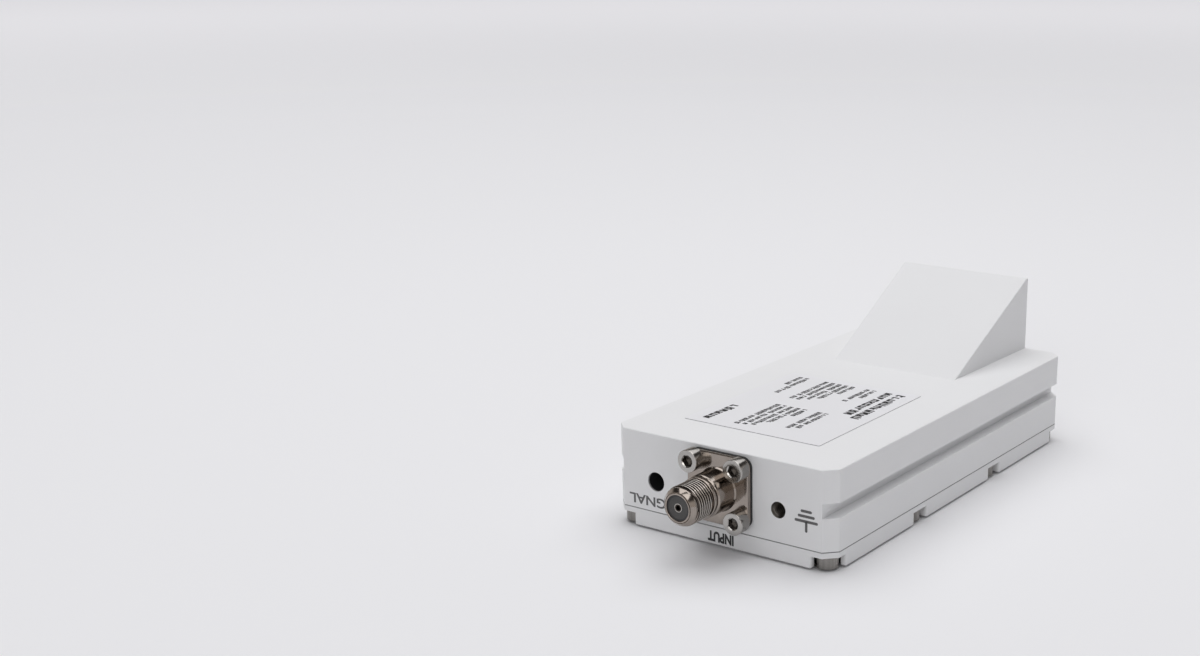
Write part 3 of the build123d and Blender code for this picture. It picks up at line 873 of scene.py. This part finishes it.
def islands(node):
    """The boxes of a node's separate solids, as (low, high) corners."""
    welded = bmesh.new()
    welded.from_mesh(nodes[node].data)
    bmesh.ops.remove_doubles(welded, verts=welded.verts, dist=MERGE_DISTANCE)
    boxes = []
    waiting = set(welded.verts)
    while waiting:
        reached = [waiting.pop()]
        for corner in reached:
            for edge in corner.link_edges:
                other = edge.other_vert(corner)
                if other in waiting:
                    waiting.remove(other)
                    reached.append(other)
        boxes.append(corner_box(reached))
    welded.free()
    return sorted(boxes, key=lambda box: box[0][:])


jack_seats = islands("connector_screws")
cover_seats = islands("cover_screws")
print("found", len(jack_seats), "jack screws and", len(cover_seats), "cover screws")

# %% Set the screws
SCREW_SEED = 4
COVER_SCREW_HEAD_HEIGHT = 3.1 * MM
HEAD_DOWN = Matrix.Rotation(math.pi, 4, "X")
spread = random.Random(SCREW_SEED)


def any_turn():
    return Matrix.Rotation(spread.uniform(0, math.tau / 6), 4, "Z")


jack_screws = bmesh.new()
for low, high in jack_seats:
    seat = facing_front((low.x + high.x) / 2, (low.z + high.z) / 2) @ Matrix.Translation((0, 0, flange_front))
    add_to(jack_screws, socket_screw(JACK_SCREW_HEAD_HEIGHT), seat @ any_turn())
make_piece("jack_screws", jack_screws, [jack_screw_steel, socket_painted_shade], ["connector_screws"])

cover_screws = bmesh.new()
for low, high in cover_seats:
    roof = low.z + COVER_SCREW_HEAD_HEIGHT
    seat = Matrix.Translation(((low.x + high.x) / 2, (low.y + high.y) / 2, roof)) @ HEAD_DOWN
    add_to(cover_screws, socket_screw(COVER_SCREW_HEAD_HEIGHT), seat @ any_turn())
make_piece("cover_socket_screws", cover_screws, [cover_screw_steel, socket_painted_shade], ["cover_screws"])

# %% [markdown]
# ## The earth hole's thread
# The hole right of the jack is tapped for an earth screw, and its turns show as fine hatching. The same helix, with
# its tooth pointing inwards, lines the hole.

# %% Thread the earth hole
EARTH_HOLE_RADIUS = 1.65 * MM
EARTH_PITCH = 0.7 * MM
EARTH_TOOTH = 0.2 * MM
EARTH_TOOTH_SHARE = 0.42
EARTH_LINING = 0.02 * MM
EARTH_ROUNDING = 0.04 * MM
EARTH_START = 0.55 * MM
EARTH_END = 6.0 * MM
CUT_MARKS = (3000, 3000, 3000)

lining_radius = EARTH_HOLE_RADIUS - EARTH_LINING
earth_turns = (EARTH_END - EARTH_START) / EARTH_PITCH
half_pitch = EARTH_TOOTH_SHARE * EARTH_PITCH
ridge = helix([
    (lining_radius, -half_pitch),
    (lining_radius - EARTH_TOOTH, 0),
    (lining_radius, half_pitch),
], EARTH_PITCH, earth_turns, (1,), EARTH_ROUNDING)
run_out(ridge, 0, EARTH_PITCH, earth_turns, lining_radius, False)
into_face = facing_front(earth_x, earth_z) @ Matrix.Translation((0, 0, -EARTH_END))
bmesh.ops.transform(ridge, matrix=into_face, verts=ridge.verts)
tapped = turned_metal("tapped_aluminium", (0.34, 0.315, 0.29), (0.10, 0.09, 0.08), 0.3, CUT_MARKS)
make_piece("earth_hole_thread", ridge, [tapped])

# %% [markdown]
# ## Rubber and plastics
# The gasket behind the jack and the seal in the seam are black rubber, the jack's insulator is dark grey moulded
# plastic, and the beads inside are white. Rubber is rough with a dusty sheen, and moulded plastic has a fine grain.
# The insulator's edge is stepped back behind the jack's rim, and a ring of painted shade runs round its face.

# %% Dress rubber and plastic
GRAIN_GLOSS = 0.15
GRAIN_STRENGTH = 0.2
GRAIN_HEIGHT = 0.02 * MM
INSULATOR_FACE = 2.5 * MM
INSULATOR_PAINTED_SHADE = 0.85


def moulded(name, light, dark, gloss, grain, shade=None, **constants):
    """A plastic or rubber with a fine grain. Shade is a function that gives a mask of painted shade."""
    plastic = Finish(name, **constants)
    speckle = plastic.noise(grain, detail=4.0)
    colour = plastic.blend(speckle, dark, light)
    if shade:
        colour = plastic.blend(shade(plastic), colour, PAINTED_SHADE_BLACK)
    roughness = gloss + GRAIN_GLOSS * (speckle - NOISE_MIDDLE)
    relief = plastic.bump(speckle, GRAIN_STRENGTH, GRAIN_HEIGHT)
    return plastic.coat(Base_Color=colour, Roughness=roughness, Normal=relief)


def insulator_rim(plastic):
    """Painted shade on the insulator's edge, which is stepped back."""
    x, y, z = plastic.axes()
    return INSULATOR_PAINTED_SHADE - INSULATOR_PAINTED_SHADE * inside_hole(x, z, jack_x, jack_z, INSULATOR_FACE)


rubber = moulded("black_rubber", (0.022, 0.022, 0.023), (0.012, 0.012, 0.012), 0.62, 3000.0)
# Painted shade: a near-black ring round the insulator's face.
insulator = moulded("grey_insulator", (0.078, 0.075, 0.072), (0.036, 0.035, 0.034), 0.5, 2600.0, insulator_rim)
bead = moulded("white_bead", (0.82, 0.82, 0.80), (0.76, 0.76, 0.74), 0.35, 1500.0)
lamp = moulded("tinted_lamp", (0.05, 0.10, 0.04), (0.04, 0.08, 0.03), 0.15, 700.0, Coat_Weight=0.5)
dress(rubber, "connector_gasket", "cover_seal")
dress(insulator, "connector_insulator")
dress(bead, "connector_rear_bead", "probe_bead")
dress(lamp, "status_lamp")

# %% [markdown]
# ## Parts inside
# Nothing of the board shows with the cover on, but someone will take the cover off, so each part gets its own
# finish: green mask with lighter tracks, black moulding compound, tinned sheet, aluminium cans, ferrite and
# absorber foam.

# %% Dress the parts inside
BOARD_MASK = (0.012, 0.09, 0.035)
BOARD_TRACK = (0.03, 0.17, 0.07)
TRACK_SCALE = 90.0
TRACK_WANDER = 6.0
TRACK_THRESHOLD = 0.82
TRACK_REACH = 21.0 * MM
SHEET_MARKS = (700, 700, 700)


def laminate():
    """Green mask over copper tracks, which show as paler lines."""
    board = Finish("board_mask", IOR=1.5)
    x, y, z = board.axes()
    lines = board.node("ShaderNodeTexWave", {"bands_direction": "X"}, {
        "Vector": board.place(), "Scale": TRACK_SCALE, "Distortion": TRACK_WANDER, "Detail": 0.0,
    })
    tracks = (lines > TRACK_THRESHOLD) * (abs(x) < TRACK_REACH)
    colour = board.blend(tracks, BOARD_MASK, BOARD_TRACK)
    return board.coat(Base_Color=colour, Roughness=0.3 + 0.1 * board.noise(600.0))


tinned = turned_metal("tinned_sheet", (0.72, 0.72, 0.71), (0.60, 0.60, 0.60), 0.33, SHEET_MARKS)
moulding = moulded("chip_moulding", (0.03, 0.03, 0.032), (0.02, 0.02, 0.021), 0.55, 4000.0)
can_metal = turned_metal("capacitor_can", (0.74, 0.74, 0.74), (0.62, 0.62, 0.63), 0.3, ALONG_SCREW)
ferrite = moulded("ferrite", (0.075, 0.072, 0.07), (0.05, 0.05, 0.05), 0.6, 1500.0)
foam = moulded("absorber_foam", (0.05, 0.05, 0.052), (0.025, 0.025, 0.026), 0.85, 900.0)
dress(laminate(), "circuit_board")
dress(probe_plate, "waveguide_probe")
dress(cover_screw_steel, "board_screws")
dress(tinned, "screening_can", "reference_crystal")
dress(moulding, "input_transistors", "mixer_chip", "synthesiser_chip", "output_amplifier", "voltage_regulator")
dress(can_metal, "smoothing_capacitors")
dress(ferrite, "power_inductor")
dress(foam, "absorber_pad")

# %% [markdown]
# ## The label
# The label is a white film, a shade bluer than the paint. What makes it read as a separate sheet is its cut edge,
# painted as shade: a thin grey line all round, strongest where it faces the viewer, beside a band of painted shade
# just inside the border. The edge lies just below the film's face, so a mask on height finds it.

# %% Dress the label film
FILM = (0.81, 0.81, 0.828)
FILM_SHADE = (0.75, 0.75, 0.77)
FILM_EDGE_PAINTED_SHADE = (0.36, 0.36, 0.375)
FILM_EDGE_DEPTH = 0.02 * MM
FILM_RIM = 0.1 * MM
FILM_RIM_PAINTED_SHADE = 0.25
FILM_GLOSS = 0.36
CLOUD_SCALE = 60.0
CLOUD_SHADE = 0.3
CLOUD_GLOSS = 0.06

film = Finish("label_film", IOR=1.45)
x, y, z = film.axes()
label_middle = (label_low + label_high) / 2
label_half = (label_high - label_low) / 2
cut_edge = z < label_high.z - FILM_EDGE_DEPTH
within_x = abs(x - label_middle.x) < label_half.x - FILM_RIM
within_y = abs(y - label_middle.y) < label_half.y - FILM_RIM
rim = 1 - within_x * within_y
cloud = film.noise(CLOUD_SCALE)
# Painted shade: a darker band along the film's border, and the cut edge painted grey.
colour = film.blend(CLOUD_SHADE * cloud + FILM_RIM_PAINTED_SHADE * rim, FILM, FILM_SHADE)
colour = film.blend(cut_edge, colour, FILM_EDGE_PAINTED_SHADE)
dress(film.coat(Base_Color=colour, Roughness=FILM_GLOSS + CLOUD_GLOSS * cloud), "rating_label")

# %% [markdown]
# ## Print on the label
# The film carries blocks of small print. No words are needed for that look: each letter is a few short strokes
# drawn by a seeded random choice, in words of uneven length, and from a step away they read as text. Lines run
# along the box, in two columns with a heavier heading.

# %% Made-up letters
PRINT_SEED = 11
PRINT_HEIGHT = 0.012 * MM
LETTER_WIDTH = 0.46
LETTER_ADVANCE = 0.92
LETTER_HEIGHTS = (0.8, 0.8, 1.0)
LETTER_STEMS = ((0, 1), (0, 1), (0, 1), (0,))
LETTER_BARS = (0.12, 0.45, 0.7)
BAR_COUNTS = (1, 2)
STROKE = 0.29
WORD_GAP = 0.55
ink_source = random.Random(PRINT_SEED)
label_print = bmesh.new()


def stroke(x, y, width, length):
    """One ink stroke on the film, given by its middle and its size."""
    block(label_print, (x, y, label_high.z + PRINT_HEIGHT / 2), (width, length, PRINT_HEIGHT))


def letter(x, y, height):
    """A made-up letter: one or two stems, and one or two bars between them."""
    width = LETTER_WIDTH * height
    thick = STROKE * height
    tall = ink_source.choice(LETTER_HEIGHTS)
    for stem in ink_source.choice(LETTER_STEMS):
        stroke(x + tall * height / 2, y - stem * width, tall * height, thick)
    for bar in ink_source.sample(LETTER_BARS, ink_source.choice(BAR_COUNTS)):
        stroke(x + bar * height, y - width / 2, thick, width)


def print_line(x, start, length, height, word):
    """Words of made-up letters, from the start towards the jack."""
    along = 0
    word_left = ink_source.randint(*word)
    while along < length:
        if word_left:
            letter(x, start - along, height)
            word_left -= 1
            along += LETTER_ADVANCE * height
        else:
            word_left = ink_source.randint(*word)
            along += WORD_GAP * height


print("a letter takes", LETTER_ADVANCE, "of its height")

# %% Print the label
INK = (0.012, 0.012, 0.014)
INK_PALE = (0.035, 0.035, 0.038)
SMALL_PRINT = 1.4 * MM
SMALL_PITCH = 2.0 * MM
SMALL_WORD = (5, 12)
HEADING = 2.35 * MM
HEADING_PITCH = 3.3 * MM
HEADING_WORD = (13, 14)
FOOT_WORD = (9, 9)
FIRST_COLUMN = -0.9
SECOND_COLUMN = -24.4
FOOT_START = -31.0


def print_block(x, start, lengths, height=SMALL_PRINT, pitch=SMALL_PITCH, word=SMALL_WORD):
    """Lines below each other, the first at x and the rest towards the box's left side, in millimetres."""
    for row, length in enumerate(lengths):
        print_line(x * MM - row * pitch, start * MM, length * MM, height, word)


print_block(13.1, FIRST_COLUMN, (22.0, 21.0), HEADING, HEADING_PITCH, HEADING_WORD)
print_block(5.9, FIRST_COLUMN, (6.5, 12.0))
print_block(-0.5, FIRST_COLUMN, (6.5, 13.0, 16.0, 16.5, 17.5))
print_block(-14.5, FIRST_COLUMN, (15.0, 7.0))
print_block(6.2, SECOND_COLUMN, (13.5, 14.0))
print_block(0.0, SECOND_COLUMN, (6.5, 13.5, 16.5, 17.0, 18.2))
print_block(-16.9, FOOT_START, (11.6,), HEADING, word=FOOT_WORD)

ink = Finish("label_ink")
bleed = ink.noise(3000.0)
ink.coat(Base_Color=ink.blend(bleed, INK, INK_PALE), Roughness=0.45 + 0.2 * bleed)
make_piece("label_print", label_print, [ink.material], smooth=False)

# %% [markdown]
# ## Legends on the front
# The box lies on its cover, so its legends stand on their heads. A generic word under the jack says which way the
# signal goes, another names the lamp, and the earth hole has the usual sign. Text starts as a font curve, becomes a
# mesh while it still lies flat at the origin, is scaled to its measured height and length, and only then goes to
# its place on the face.

# %% Print the legends
LEGEND_HEIGHT = 0.015 * MM
UPSIDE_DOWN = Matrix.Rotation(math.pi, 4, "Z")
INK_GRAIN_SCALE = 2500.0
INK_GRAIN_SHADE = 0.8


def legend(name, words, middle_x, middle_z, length, height, boldness, material):
    """Words on the front face, upside down, that fill a stated length and height."""
    text = bpy.data.curves.new(name, "FONT")
    text.body = words
    text.offset = boldness
    text.extrude = 0.5
    flat = bpy.data.objects.new(name, text)
    mesh = bpy.data.meshes.new_from_object(flat)
    bpy.data.objects.remove(flat)
    low, high = corner_box(mesh.vertices)
    size = high - low
    fit = Matrix.Diagonal((length / size.x, height / size.y, LEGEND_HEIGHT / size.z, 1))
    middle = Matrix.Translation(-(low + high) / 2)
    lift = Matrix.Translation((0, 0, LEGEND_HEIGHT / 2))
    mesh.transform(facing_front(middle_x, middle_z) @ UPSIDE_DOWN @ lift @ fit @ middle)
    words_piece = bmesh.new()
    words_piece.from_mesh(mesh)
    bpy.data.meshes.remove(mesh)
    bmesh.ops.remove_doubles(words_piece, verts=words_piece.verts, dist=MERGE_DISTANCE)
    make_piece(name, words_piece, [material], smooth=False)


def printed(name, tone):
    """Screen ink with a fine grain in its tone and gloss."""
    screen_ink = Finish(name)
    grain = screen_ink.noise(INK_GRAIN_SCALE)
    dark = [INK_GRAIN_SHADE * part for part in tone]
    return screen_ink.coat(Base_Color=screen_ink.blend(grain, dark, tone), Roughness=0.42 + 0.12 * grain)


black_ink = printed("black_legend_ink", (0.03, 0.03, 0.032))
grey_ink = printed("grey_legend_ink", (0.12, 0.118, 0.118))
legend("input_legend", "INPUT", 0.3 * MM, 2.15 * MM, 7.4 * MM, 2.6 * MM, 0.045, black_ink)
legend("lamp_legend", "SIGNAL", -19.6 * MM, 7.0 * MM, 13.8 * MM, 2.5 * MM, 0.022, grey_ink)

# %% [markdown]
# ## The earth sign
# Three bars that grow shorter and one stem, with rounded ends as a pen would leave them. Each bar is a flattened
# cube whose upright edges are bevelled.

# %% Print the earth sign
SIGN_X = 23.95 * MM
SIGN_LEVELS = {11.2 * MM: 6.2 * MM, 12.4 * MM: 4.5 * MM, 13.6 * MM: 3.0 * MM}
SIGN_STROKE = 0.66 * MM
SIGN_ROUNDING = 0.45
STEM_FOOT = 8.6 * MM


def sign_bar(bm, x, z, width, height):
    """One rounded bar on the front face."""
    bar = bmesh.new()
    block(bar, (0, 0, LEGEND_HEIGHT / 2), (width, height, LEGEND_HEIGHT))
    bevel(bar, upright_edges(bar), SIGN_ROUNDING * min(width, height), 4, "EDGES")
    add_to(bm, bar, facing_front(x, z))


sign = bmesh.new()
for level, width in SIGN_LEVELS.items():
    sign_bar(sign, SIGN_X, level, width, SIGN_STROKE)
stem_top = min(SIGN_LEVELS)
sign_bar(sign, SIGN_X, (stem_top + STEM_FOOT) / 2, SIGN_STROKE, stem_top - STEM_FOOT)
make_piece("earth_sign", sign, [grey_ink], smooth=False)

# %% [markdown]
# ## Floor
# The photograph has a pale seamless floor that runs into a pale background. One wide plane is enough for both: far
# from the box it glows faintly, in the tone of the background. Only the camera and mirroring metal see that glow,
# through the Light Path node, so it puts no light on the box.

# %% Lay the floor
FLOOR_HALF = 6.0
FLOOR_DROP = 0.35 * MM
FLOOR_TONE = (0.85, 0.848, 0.858)
FAR_GLOW = (0.452, 0.448, 0.463)
NO_GLOW = (0, 0, 0)
GLOW_START = 0.35
GLOW_END = 2.05

floor_mesh = bmesh.new()
bmesh.ops.create_grid(
    floor_mesh, x_segments=1, y_segments=1, size=FLOOR_HALF, matrix=Matrix.Translation((0, 0, -FLOOR_DROP))
)
floor_data = bpy.data.meshes.new("floor")
floor_mesh.to_mesh(floor_data)
floor_mesh.free()
floor = add_object("floor", floor_data)

paper = Finish(
    "floor_paper", Base_Color=FLOOR_TONE, Roughness=0.7, Specular_IOR_Level=0.1, Emission_Strength=1.0
)
distance = paper.node("ShaderNodeVectorMath", {"operation": "LENGTH"}, {0: paper.place()}, "Value")
far = paper.ramp(distance, GLOW_START, GLOW_END, curve="SMOOTHSTEP")
by_camera = paper.node("ShaderNodeLightPath", output="Is Camera Ray")
by_metal = paper.node("ShaderNodeLightPath", output="Is Glossy Ray")
seen = by_camera + by_metal
floor_data.materials.append(paper.coat(Emission_Color=paper.blend(far * seen, NO_GLOW, FAR_GLOW)))
print("floor", 2 * FLOOR_HALF, "m wide")

# %% [markdown]
# ## Lamps
# One big softbox hangs over the box and gives the soft shadow round it. A weak lamp far in front lifts the front
# face. The third one is for gloss alone: metal looks dull unless it has something bright to mirror, and a lamp that
# is hidden from diffuse light gives it that without a change to the paint.

# %% Hang the lamps
def softbox(name, place, target, width, height, power, tint=(1, 1, 1), gloss_only=False):
    """A rectangular lamp that faces a point."""
    lamp = bpy.data.lights.new(name, "AREA")
    lamp.shape = "RECTANGLE"
    lamp.size = width
    lamp.size_y = height
    lamp.energy = power
    lamp.color = tint
    holder = add_object(name, lamp)
    holder.location = place
    holder.rotation_euler = (Vector(target) - Vector(place)).to_track_quat("-Z", "Y").to_euler()
    holder.visible_diffuse = not gloss_only
    print("hung", name, "of", power, "W")


softbox(
    "overhead", place=(-0.15, 0.17, 1.1), target=(-0.05, 0, 0), width=1.6, height=1.45, power=12.7,
    tint=(0.99, 0.99, 1.0),
)
softbox("front_fill", place=(0.45, -1.45, 0.62), target=(0, 0, 0), width=0.9, height=0.45, power=3.2)
softbox(
    "high_key", place=(0.24, -0.84, 0.95), target=(0, -0.07, 0.02), width=0.7, height=0.55, power=2.2,
    gloss_only=True,
)

# %% [markdown]
# ## Room
# The world does two jobs, told apart by the kind of ray. It fills the shadows with one even tone, and to metal it is
# a dark room with a pale horizon. Without that dark part the jack would turn as pale as the floor and lose its
# contrast.

# %% Set the room
ROOM_LIGHT = (0.28, 0.28, 0.29)
ROOM_MIRRORED = (0.05, 0.044, 0.04)
HORIZON_MIRRORED = (0.6, 0.565, 0.535)
HORIZON_LOW = 0.32
HORIZON_HIGH = 0.55

world = bpy.data.worlds.new("room")
world.use_nodes = True
room = Nodes(world.node_tree)
direction = room.node("ShaderNodeTexCoord", output="Generated")
height = room.node("ShaderNodeSeparateXYZ", sockets={0: direction}, output=2)
above = room.ramp(height, HORIZON_LOW, HORIZON_HIGH, curve="SMOOTHSTEP")
surroundings = room.blend(above, HORIZON_MIRRORED, ROOM_MIRRORED)
filling = room.node("ShaderNodeBackground", sockets={"Color": ROOM_LIGHT})
mirrored = room.node("ShaderNodeBackground", sockets={"Color": surroundings})
glossy = room.node("ShaderNodeLightPath", output="Is Glossy Ray")
choice = room.node("ShaderNodeMixShader", sockets={0: glossy, 1: filling, 2: mirrored})
room.plug(choice, room.tree.nodes["World Output"].inputs["Surface"])
bpy.context.scene.world = world
bpy.context.scene.view_settings.view_transform = "Standard"
print("room set, mirrored horizon up to", HORIZON_HIGH)
